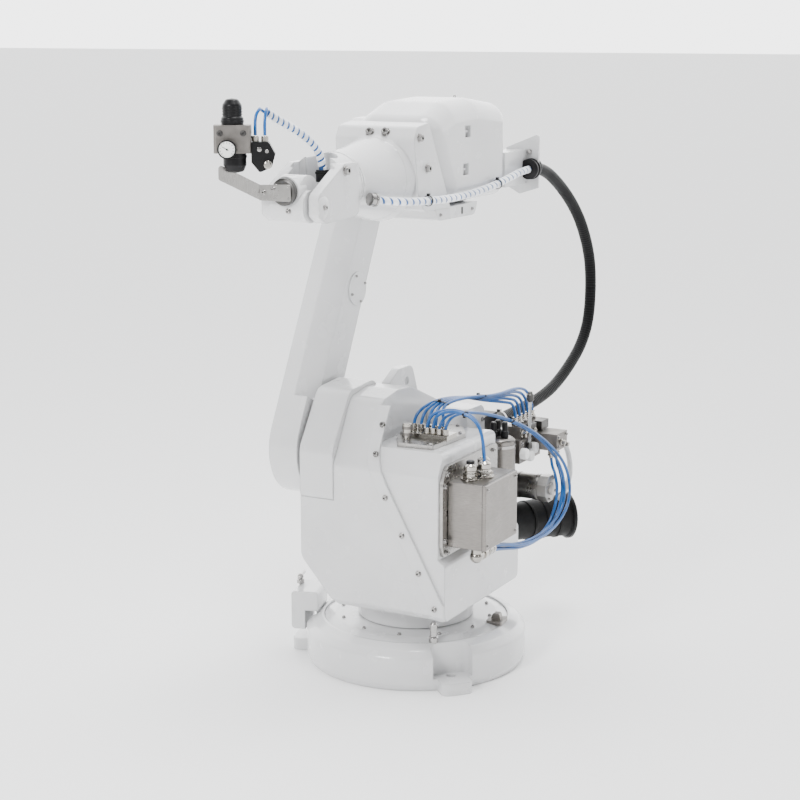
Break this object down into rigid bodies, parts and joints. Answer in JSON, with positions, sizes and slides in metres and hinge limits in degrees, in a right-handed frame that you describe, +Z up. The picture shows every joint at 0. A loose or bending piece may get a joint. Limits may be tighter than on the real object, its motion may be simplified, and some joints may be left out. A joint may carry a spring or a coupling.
{
  "type": "industrial robot arm",
  "caption": "Floor-standing six-axis robot arm with a round bolted base, side-mounted lower arm, hollow wrist and air regulator on its tool flange.",
  "frame": {"origin": "centre of the three foot bolts at floor level", "axes": "+Z up, +X the way the forearm points at rest, +Y the side of the steel junction box"},
  "size_m": [1.6635, 0.613, 1.4582],
  "materials": {
    "white_paint": "glossy white enamel",
    "steel": "brushed stainless steel",
    "black_rubber": "satin black rubber and plastic",
    "blue_tube": "glossy blue air tube",
    "spiral_wrap": "white spiral wrap over blue tubes",
    "white_hose": "milky white hose"
  },
  "bodies": {
    "base": {"base_casting": "white_paint", "base_cover": "steel", "connector_box": "white_paint", "drain_tap": "steel", "stop_pin": "steel", "seam_latch": "steel"},
    "torso": {"swivel_neck": "steel", "gear_shell": "white_paint", "side_housing": "white_paint", "joint_rim": "white_paint", "axis2_ring": "white_paint", "lifting_lug": "white_paint", "rear_hump": "white_paint", "valve_plate": "steel", "valve_manifold": "steel", "box_plate": "steel", "junction_box": "steel", "box_glands": "steel", "box_elbow": "steel", "filter_canister": "steel", "side_motor": "steel", "motor_bracket": "steel", "valve_cluster": "steel", "cluster_fittings": "steel", "sensor_rod": "steel", "rubber_boot": "black_rubber", "hose_socket": "black_rubber", "main_hose_lower": "black_rubber", "air_tubes": "blue_tube", "white_hose": "white_hose"},
    "lower_arm": {"lower_arm": "white_paint", "hub_cap": "white_paint", "arm_disc_cover": "white_paint"},
    "forearm": {"elbow_housing": "white_paint", "elbow_cover": "white_paint", "motor_cover": "white_paint", "bottom_tray": "white_paint", "forearm_casting": "white_paint", "rear_plate": "white_paint", "rear_bracket": "white_paint", "hose_gland": "black_rubber", "main_hose_upper": "black_rubber", "forearm_sleeve": "spiral_wrap", "sleeve_gland": "black_rubber", "sleeve_port": "steel"},
    "wrist_roll": {"wrist_housing": "white_paint", "saddle_gland": "black_rubber", "front_sleeve": "spiral_wrap"},
    "wrist_bend": {"bend_barrel": "white_paint"},
    "tool_flange": {"tool_flange": "steel", "tool_bracket": "steel", "regulator_block": "steel", "regulator_dome": "black_rubber", "regulator_bowl": "black_rubber", "pressure_gauge": "black_rubber", "valve_body": "black_rubber", "valve_fittings": "steel", "tool_tubes": "blue_tube"}
  },
  "joints": [
    {"name": "axis_1_swivel", "type": "hinge", "parent": "base", "child": "torso", "pos_m": [0, 0, 0.13], "axis": [0, 0, 1], "range_deg": [-43.6, 256.4]},
    {"name": "axis_2_lower_arm", "type": "hinge", "parent": "torso", "child": "lower_arm", "pos_m": [0.105, -0.255, 0.56], "axis": [0, 1, 0], "range_deg": [-20, 75], "deforming": ["main_hose_lower"]},
    {"name": "axis_3_forearm", "type": "hinge", "parent": "lower_arm", "child": "forearm", "pos_m": [-0.248, -0.2, 1.252], "axis": [0, -1, 0], "range_deg": [-30, 75], "deforming": ["main_hose_upper"]},
    {"name": "axis_4_roll", "type": "hinge", "parent": "forearm", "child": "wrist_roll", "pos_m": [0.4, 0, 1.256], "axis": [1, 0, 0], "range_deg": [-90, 90]},
    {"name": "axis_5_bend", "type": "hinge", "parent": "wrist_roll", "child": "wrist_bend", "pos_m": [0.585, 0, 1.222], "axis": [0, 1, 0], "range_deg": [-60, 90], "deforming": ["front_sleeve"]},
    {"name": "axis_6_flange", "type": "hinge", "parent": "wrist_bend", "child": "tool_flange", "pos_m": [0.622, 0, 1.256], "axis": [1, 0, 0], "range_deg": [-90, 90], "deforming": ["tool_tubes"]}
  ]
}
